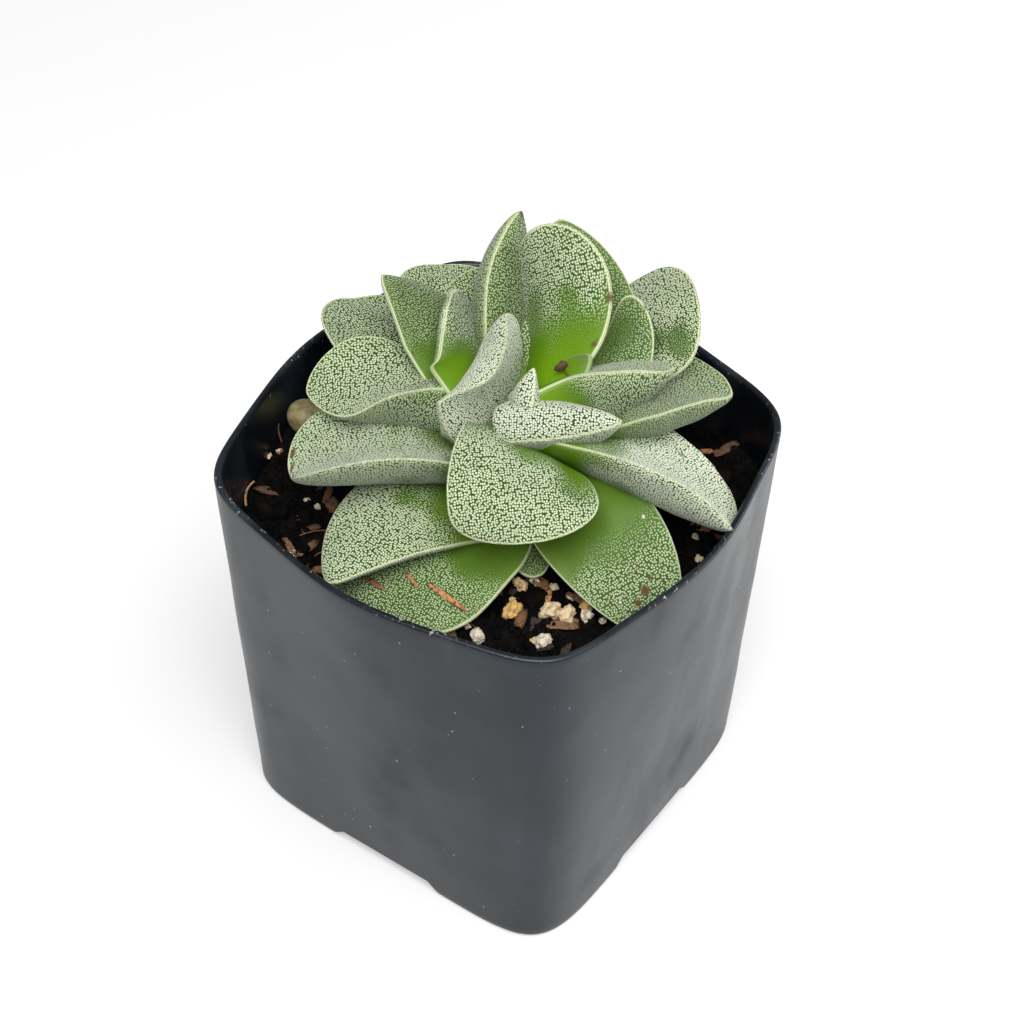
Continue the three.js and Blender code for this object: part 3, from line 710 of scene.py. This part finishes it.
def leaf_finish(name, papilla, fullness, paleness=0.75):
    """A felted leaf; fullness is how far the papillae close up, paleness that of its edge lines."""
    finish, shader = new_finish(name)

    def measure(what, output="Fac"):
        """A measure that was written to the mesh."""
        return node(finish, "Attribute", {}, attribute_name=what).outputs[output]

    # The papillae are cells that never quite touch, crowded at the edge and thin beside its lines.
    felt = measure("felt")
    inset = measure("inset")
    sockets = {"Vector": measure("skin", "Vector"), "Scale": 1 / PAPILLA_APART, "Randomness": 0.75}
    apart = node(finish, "TexVoronoi", sockets, voronoi_dimensions="2D").outputs["Distance"]
    cells = node(finish, "TexVoronoi", sockets, feature="DISTANCE_TO_EDGE", voronoi_dimensions="2D")
    parted = between(finish, -0.02, 0.16, cells.outputs["Distance"])
    patchy = figured(finish, "MULTIPLY_ADD", cloudy(finish, 0.8, 3), 0.3, fullness - 0.25)
    patchy = figured(finish, "MULTIPLY_ADD", cloudy(finish, 3.5, 2), 0.2, patchy)
    rim = between(finish, 0.3, 0.2, inset)
    rim = figured(finish, "MULTIPLY", rim, between(finish, -0.6, -0.1, inset))
    patchy = figured(finish, "MULTIPLY_ADD", rim, 0.08, patchy)
    off_line = [figured(finish, "ABSOLUTE", figured(finish, "SUBTRACT", inset, place))
                for place in MARGIN_LINES]
    off_line = figured(finish, "MINIMUM", *off_line)
    line = between(finish, 0.08, 0.02, off_line)
    flank = between(finish, 0.34, 0.12, off_line)
    patchy = figured(finish, "MULTIPLY_ADD", flank, -0.12, patchy)
    reach = figured(finish, "MULTIPLY", felt, patchy)
    dots = between(finish, -0.14, 0.1, figured(finish, "SUBTRACT", reach, apart))
    dots = figured(finish, "MULTIPLY", dots, parted)

    # The flesh is paler near the edge, bright green at the root, and darkened with painted shade
    # between the papillae.
    flesh = mixed(finish, cloudy(finish, 2.5, 3), paint(62, 90, 30), paint(84, 110, 50))
    near_rim = between(finish, 1.9, 0.5, figured(finish, "ABSOLUTE", inset))
    flesh = mixed(finish, figured(finish, "MULTIPLY", near_rim, 0.6), flesh, paint(98, 124, 60))
    flesh = mixed(finish, measure("glow"), flesh, paint(98, 138, 2))
    flesh = mixed(finish, figured(finish, "MULTIPLY", rim, 0.45), flesh, paint(158, 172, 122))
    # Painted shade darkens the flesh in the gaps between the papillae.
    painted_crevice_shade = figured(finish, "MULTIPLY", between(finish, 0.36, 0.6, apart), felt)
    flesh = mixed(finish, figured(finish, "MULTIPLY", painted_crevice_shade, 0.75), flesh, paint(28, 50, 16))
    colour = mixed(finish, dots, flesh, papilla)
    colour = mixed(finish, figured(finish, "MULTIPLY", line, paleness), colour, paint(216, 220, 182))
    colour = mixed(finish, measure("scar"), colour, paint(92, 68, 36))
    feed(finish, shader.inputs["Base Color"], colour)
    roughness = figured(finish, "MULTIPLY_ADD", felt, FELT_ROUGHNESS, SMOOTH_ROUGHNESS)
    feed(finish, shader.inputs["Roughness"], roughness)
    feed(finish, shader.inputs["Sheen Weight"], figured(finish, "MULTIPLY", felt, FELT_SHEEN))
    set_all_over(shader, 0.8, subsurface_weight=0.1, subsurface_scale=1 * MM,
                 subsurface_radius=(0.8, 1.0, 0.3), sheen_roughness=0.45, specular_ior_level=0.18)
    bumped(finish, shader, dots, PAPILLA_HEIGHT, 0.8)
    return finish


felted = leaf_finish("felted_leaf", paint(196, 209, 172), 0.42)
whitest = leaf_finish("young_felted_leaf", paint(214, 222, 198), 0.45)
# Whiter papillae for two leaves: partly their denser felt, partly painted light on leaves that face
# away from the lamps.
denser_felt_and_painted_light = leaf_finish("densely_felted_painted_light_leaf", paint(226, 235, 208), 0.46)
withering = leaf_finish("withering_bract", paint(176, 190, 140), 0.42, 0.15)

# A heading, roll or twist is in degrees. Root and tip have their own height, and start and reach are
# how far out they lie. Places on a leaf are shares of its length, and each spot or worn patch is a
# share of the length, one of the half width and a radius.
LEAF_HABIT = dict(root=(0, 0), start=1, thick=3, arch=0, sickle=0, roll=0, twist=0, cup=0, neck=0.6,
                  widest=0.6, blunt=2.2, crown=0.2, keel=1.7, felt=1, smooth=0.28, fade=0.35,
                  slant=0, lush=1, spots=(), worn=())
LEAVES = dict(
    leaf_crown_left=dict(
        heading=67, root=(-1.4, -2.9), start=-2.4, root_z=53.7, reach=3.7, tip_z=68.3,
        width=11, thick=3.1, arch=0.2, sickle=-4, roll=115, twist=-70, cup=0.05, neck=0.3, widest=0.1,
        blunt=1.6, smooth=-1),
    leaf_front_upper=dict(
        heading=-45, root=(1, -1), root_z=54.3, reach=15.4, tip_z=53,
        width=15.5, thick=3.2, arch=2.1, sickle=-0.2, roll=-10, twist=-44, cup=-0.05, widest=0.7,
        blunt=2.7, felt=0.94, smooth=0.05, slant=0.4),
    leaf_crown_back_left=dict(
        heading=156, root=(-1, -0.5), root_z=56, reach=8.7, tip_z=64.5,
        width=13.1, thick=2.8, arch=-1.1, sickle=-2.5, roll=38, twist=-17, cup=-0.15, widest=0.4,
        blunt=1.9, felt=0.65, smooth=0.3, slant=0.3, lush=0.8),
    leaf_back_tall_right=dict(
        heading=118, root=(1, 0.5), root_z=55.7, reach=15.1, tip_z=68,
        width=13.3, thick=2.7, arch=-2.9, sickle=-2, roll=-43, twist=-32, cup=-0.2, neck=0.55, blunt=2,
        felt=0.85, smooth=0.36, spots=((0.6, -0.98, 0.3), (0.4, -0.92, 0.2))),
    leaf_back_tall_left=dict(
        heading=121, root=(-1, 3), root_z=52.9, reach=16.1, tip_z=66.9,
        width=7.5, thick=4.3, arch=-0.2, sickle=1.5, roll=54, twist=-7, cup=0.05, neck=0.7, widest=0.55,
        blunt=1.7, felt=0.6, smooth=0.1, lush=0.3, spots=((0.985, 0, 0.3),)),
    leaf_right_upper=dict(
        heading=42, root=(1, 0), root_z=55.7, reach=16.6, tip_z=60.3,
        width=12.2, thick=5.8, arch=1.5, sickle=2.7, roll=-43, twist=-12, cup=0.1, neck=0.65,
        widest=0.5, felt=0.8, smooth=0.2, lush=0.9),
    leaf_left_upper=dict(
        heading=-153, root=(-4, -1), start=1.5, root_z=56.8, reach=17.1, tip_z=54.4,
        width=10.1, thick=5.8, arch=0.1, sickle=-0.9, roll=-6, twist=70, cup=0.4, neck=0.3, blunt=1.5,
        felt=0.9, smooth=-0.25, lush=0.5),
    leaf_back_left_upper=dict(
        heading=164, root=(-1, -1), root_z=53.8, reach=18.4, tip_z=62.1,
        width=11.5, thick=2.7, arch=0.8, sickle=-2, roll=16, twist=-24, cup=-0.05, neck=0.65,
        widest=0.55, blunt=1.4, felt=0.5, smooth=0.3, lush=0.5),
    leaf_right_middle=dict(
        heading=43, root=(0.5, 0), root_z=51.7, reach=24.3, tip_z=55.4,
        width=15.8, thick=4.8, arch=0.8, sickle=2.4, roll=-14, twist=22, cup=0.2, widest=0.65,
        blunt=1.9, felt=0.65, smooth=0.25, lush=0.5, spots=((0.7, -0.6, 0.2),)),
    leaf_front_right_middle=dict(
        heading=6, root=(0, 1.5), root_z=53.8, reach=26.7, tip_z=50.1,
        width=14.1, thick=4.1, arch=2, sickle=1.4, roll=-26, twist=36, cup=0.25, neck=0.65, widest=0.65,
        blunt=2, smooth=0.25, spots=((0.6, 0.65, 0.2), (0.63, 0.6, 0.2))),
    leaf_left_middle=dict(
        heading=-134, root=(1, -1.5), root_z=49.8, reach=22.3, tip_z=51.4,
        width=16.3, thick=3.6, arch=2.5, sickle=-0.2, roll=18, twist=-13, cup=0.35, neck=0.7, blunt=2.6,
        smooth=0.1, lush=0.5, spots=((0.95, -0.8, 0.25), (0.98, -0.5, 0.3), (0.99, 0.3, 0.25))),
    leaf_right_small=dict(
        heading=82, root=(3, -2), start=5, root_z=55.5, reach=17.6, tip_z=63.7,
        width=6.1, thick=2.6, arch=-2, sickle=-3.3, roll=13, twist=-16, neck=0.95, widest=0.4,
        blunt=2.8, felt=0.5, smooth=0.3, lush=0.3, spots=((0.93, -0.97, 0.25),),
        worn=((0.75, 0.3, 1.5),)),
    leaf_back_wide=dict(
        heading=111, root=(0.5, 0), root_z=52, reach=23.1, tip_z=63.4,
        width=14.5, thick=3.1, arch=0.8, sickle=-3.9, roll=10, twist=-12, cup=-0.05, blunt=1.3,
        felt=0.42, smooth=0.1),
    leaf_right_outer=dict(
        heading=66, root=(-0.5, 0), root_z=49.8, reach=24.7, tip_z=60.8,
        width=15.4, arch=-1.6, sickle=3, roll=-8, twist=1, cup=-0.1, widest=0.75, blunt=2.8, felt=1,
        smooth=0.1, spots=((0.84, -0.05, 0.22), (0.94, -0.75, 0.22)),
        worn=((0.78, -0.35, 1.8), (0.87, -0.55, 1.5))),
    leaf_back_small=dict(
        heading=135, root=(0, -0.5), root_z=54.1, reach=18.9, tip_z=59.3,
        width=10.1, arch=0.3, sickle=-0.9, roll=-11, twist=6, cup=0.05, widest=0.65, blunt=2.5,
        felt=0.7, smooth=0.1),
    leaf_back_left_lower=dict(
        heading=141, root_z=52.3, reach=23.1, tip_z=56.6,
        width=13.3, arch=1, sickle=0.8, roll=7, twist=-5, cup=0.15, widest=0.7, blunt=2.5, felt=0.8,
        smooth=0.1),
    leaf_left_outer=dict(
        heading=165, root_z=49.9, reach=25.5, tip_z=53.9,
        width=12.8, thick=2.7, arch=1.5, sickle=2.3, roll=6, twist=-10, cup=0.2, neck=0.2, widest=0.65,
        blunt=2.7, felt=0.8, smooth=0.1),
    leaf_front_left_middle=dict(
        heading=-105, root=(1.5, -2), start=3, root_z=46.9, reach=23.1, tip_z=47.5,
        width=13.3, thick=4.2, arch=2.4, sickle=-1.8, twist=-10, cup=-0.05, neck=0.95, widest=0.3,
        blunt=1.8, felt=0.95, smooth=0.15),
    leaf_front_right_lower=dict(
        heading=-16, root=(0.5, 1), root_z=47.8, reach=25.3, tip_z=42.5,
        width=12.5, thick=2.9, arch=3.3, sickle=1.7, roll=23, twist=-3, cup=0.05, neck=0.45, widest=0.5,
        blunt=2, felt=0.7, smooth=0.55, fade=0.15, lush=0.4,
        spots=((0.73, 0.15, 0.2), (0.8, 0.3, 0.2), (0.83, 0.1, 0.3), (0.86, -0.2, 0.2))),
    leaf_front_left_lower=dict(
        heading=-88, root=(0.5, 1), root_z=46.4, reach=25.6, tip_z=44.4,
        width=19, arch=0.7, sickle=-1.2, roll=8, twist=8, cup=-0.2, widest=0.4, blunt=3.2, felt=0.6,
        smooth=0.48, fade=0.15, lush=0.4),
    leaf_front_small=dict(
        heading=-38, start=5, root_z=47, reach=13.5, tip_z=44,
        width=5, thick=2.5, widest=0.5, felt=0.4),
    leaf_back_lower=dict(
        heading=112, root_z=47, reach=21.5, tip_z=44.5,
        width=14, arch=2),
    flower_stalk_bract=dict(
        heading=63, root=(1.8, -2.6), start=7.8, root_z=60.4, reach=10.4, tip_z=62.3,
        width=3.6, thick=1.6, neck=0.8, widest=0.35, blunt=1.2, felt=0.15, smooth=0.5, lush=0.7),
)
CROWN_PAIR = [
    dict(heading=24, root=(1.5, -2), start=-0.6, root_z=56.9, reach=12.6, tip_z=59.1,
         width=5.4, thick=6.3, arch=0.6, sickle=-0.1, roll=16, twist=5, cup=-0.2, neck=0.65,
         widest=0.15, blunt=1.9, smooth=-1),
    dict(heading=62, root=(1.5, 0), root_z=55.6, reach=2.3, tip_z=61.8,
         width=4.4, thick=2.9, arch=1.7, sickle=-1.1, roll=10, twist=-9, cup=-0.05, neck=1, widest=0.1,
         blunt=1.5, smooth=-1),
]
MESH_STEP = 0.22
MARGIN_BAND = 0.27
TIP_CROWDING = 1.8
DEEPEST = 0.35
RIM_THICK = 0.35
RIM_ABOVE = 0.45
SKIN_WAVE = dict(apart=3.5, height=0.16)
BEAD_HEIGHT = 0.012
WORN_OFF = 0.65
GLOW_REACH = 0.5
UNDERSIDE_SHIFT = 40


def unit(vectors):
    """Vectors of length 1."""
    return vectors / np.linalg.norm(vectors, axis=-1, keepdims=True)


def turned(vector, axis, angle):
    """A vector turned about an axis, in degrees."""
    return np.array(Matrix.Rotation(math.radians(angle), 3, Vector(axis)) @ Vector(vector))


def half_width(leaf, t):
    """Half the width at each share t of the length."""
    full = leaf["width"] / 2
    near = leaf["neck"] + (1 - leaf["neck"]) * np.sin(np.pi / 2 * np.minimum(t / leaf["widest"], 1))
    u = np.clip((t - leaf["widest"]) / (1 - leaf["widest"]), 0, 1)
    far = (1 - u ** leaf["blunt"]) ** (1 / 2 if leaf["blunt"] >= 2 else 1 / 1.5)
    return full * np.where(t < leaf["widest"], near, far)


def depth_at(leaf, t):
    """Depth of the keeled underside at each share t of the length."""
    u = np.clip((t - DEEPEST) / (1 - DEEPEST), 0, 1)
    along = np.where(t < DEEPEST, 0.75 + 0.25 * t / DEEPEST, 0.35 + 0.65 * np.sqrt(1 - u * u))
    return leaf["thick"] * along * np.sqrt(1 - t ** 6)


def leaf_skin(wanted):
    """Points, faces and surface measures of one leaf."""
    leaf = {**LEAF_HABIT, **wanted}
    heading = math.radians(leaf["heading"])
    outward = np.array([math.cos(heading), math.sin(heading), 0])
    axis = np.array([*leaf["root"], 0.0])
    root = axis + outward * leaf["start"] + [0, 0, leaf["root_z"]]
    tip = axis + outward * leaf["reach"] + [0, 0, leaf["tip_z"]]
    chord = tip - root
    length = np.linalg.norm(chord)
    side = turned([-math.sin(heading), math.cos(heading), 0], chord / length, leaf["roll"])
    bend = leaf["arch"] * np.cross(chord / length, side) + leaf["sickle"] * side
    rows = round(length / MESH_STEP)
    steps = 2 * round(0.6 * leaf["width"] / MESH_STEP)
    t = (1 - (1 - np.arange(rows) / rows) ** TIP_CROWDING)[:, None]
    middle = root + t * chord + 4 * t * (1 - t) * bend
    forward = unit(chord + 4 * (1 - 2 * t) * bend)
    across = unit(side - forward * (forward @ side)[:, None])
    twist = math.radians(leaf["twist"]) * (0.5 - t)
    across = across * np.cos(twist) + np.cross(forward, across) * np.sin(twist)
    above = np.cross(forward, across)
    k = np.arange(2 * steps)
    on_top = k <= steps
    s = np.sin(np.where(on_top, 1 - 2 * k / steps, 2 * (k - steps) / steps - 1) * np.pi / 2)
    half = half_width(leaf, t)
    depth = depth_at(leaf, t)
    slope = np.gradient(half[:, 0], t[:, 0] * length)[:, None]
    y = half * s
    margin = (half ** 2 - y ** 2) / np.maximum(2 * np.hypot(half * slope, y), 1e-6)
    band = np.minimum(MARGIN_BAND, 0.5 * half)
    rim = np.minimum(RIM_THICK, 0.5 * depth)
    near = 1 - np.clip(margin / band, 0, 1)
    drop = RIM_ABOVE * rim * (1 - np.sqrt(1 - near ** 2))
    top = leaf["crown"] * depth * (1 - s ** 2) - drop
    under = -RIM_ABOVE * rim - (1 - RIM_ABOVE) * rim * np.sqrt(1 - near ** 2)
    under = under - (depth - rim) * np.maximum(1 - np.abs(s) ** leaf["keel"], 0) ** 0.8
    rise = leaf["cup"] * half * s ** 2 + np.where(on_top, top, under)
    points = middle[:, None] + y[..., None] * across[:, None] + rise[..., None] * above[:, None]
    flat = points.reshape(-1, 3)
    wave = np.array([noise.noise(Vector(p) / SKIN_WAVE["apart"]) for p in flat]).reshape(y.shape)
    points = points + (SKIN_WAVE["height"] * wave)[..., None] * above[:, None]
    smooth = leaf["smooth"] + leaf["slant"] * s

    def patches(places):
        """1 within ragged patches of the skin, each told by share, place across and radius."""
        cover = np.zeros_like(y)
        for share, place_across, radius in places:
            apart = np.hypot((t - share) * length, y - half * place_across)
            cover = np.maximum(cover, np.clip(1.6 - apart / radius - 1.1 * wave, 0, 1))
        return cover

    scar = patches(leaf["spots"])
    felt = leaf["felt"] * np.clip((t - smooth) / leaf["fade"] + 0.7 * wave, 0, 1)
    felt *= 1 - WORN_OFF * patches(leaf["worn"])
    bead = dice.normal(0, BEAD_HEIGHT, y.shape) * felt
    points = points + bead[..., None] * np.where(on_top, 1, -1)[None, :, None] * above[:, None]
    glow = leaf["lush"] * np.clip(1 - (t - smooth + 0.1) / GLOW_REACH, 0, 1)
    step = np.linalg.norm(np.roll(points, -1, axis=1) - points, axis=2)
    run = np.concatenate([np.zeros((rows, 1)), np.cumsum(step, axis=1)], axis=1)
    edge_run = run[:, [steps]]
    last_run = run[:, [-1]]
    run = run[:, :-1]
    since_edge = np.where(on_top, run, run - edge_run)
    until_edge = np.where(on_top, edge_run, last_run) - run
    from_edge = np.minimum(since_edge, until_edge)
    midribs = np.where(on_top, run[:, [steps // 2]], run[:, [steps + steps // 2]] - UNDERSIDE_SHIFT)
    girth = run - midribs
    along = np.cumsum(np.linalg.norm(np.diff(middle, axis=0, prepend=middle[:1]), axis=1))
    skin = np.stack([along[:, None] + 0 * y, girth, 0 * y], axis=2) + [dice.uniform(0, 90), 0, 0]
    inset = np.where(on_top, margin, -from_edge)
    measures = dict(inset=inset, felt=felt, glow=glow, scar=scar, skin=skin)
    points, faces = lofted(list(points), root, points[-1].mean(0))
    measures = {name: with_ends(value) for name, value in measures.items()}
    return points, faces, measures


def with_ends(values):
    """A measure of every ring point as one list, with the two end points added."""
    flat = values.reshape(values.shape[0] * values.shape[1], -1)
    return np.concatenate([flat, flat[:1], flat[-1:]])


def grow(name, parts, finish):
    """One leaf piece from one or more joined skins."""
    all_points, all_faces, all_measures = [], [], []
    start = 0
    for part in parts:
        points, faces, measures = leaf_skin(part)
        all_points.append(points)
        all_faces += [[start + corner for corner in face] for face in faces]
        all_measures.append(measures)
        start += len(points)
    piece = new_piece("felted_" + name, np.concatenate(all_points), all_faces, finish)
    for key in all_measures[0]:
        set_measure(piece, key, np.concatenate([measures[key] for measures in all_measures]))
    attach(piece, "root")
    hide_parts(name)


OTHER_FINISHES = dict(leaf_crown_left=denser_felt_and_painted_light, leaf_crown_back_left=whitest,
                      leaf_front_right_middle=denser_felt_and_painted_light, flower_stalk_bract=withering)
grow("leaf_crown_pair", CROWN_PAIR, whitest)
for name, leaf in LEAVES.items():
    grow(name, [leaf], OTHER_FINISHES.get(name, felted))
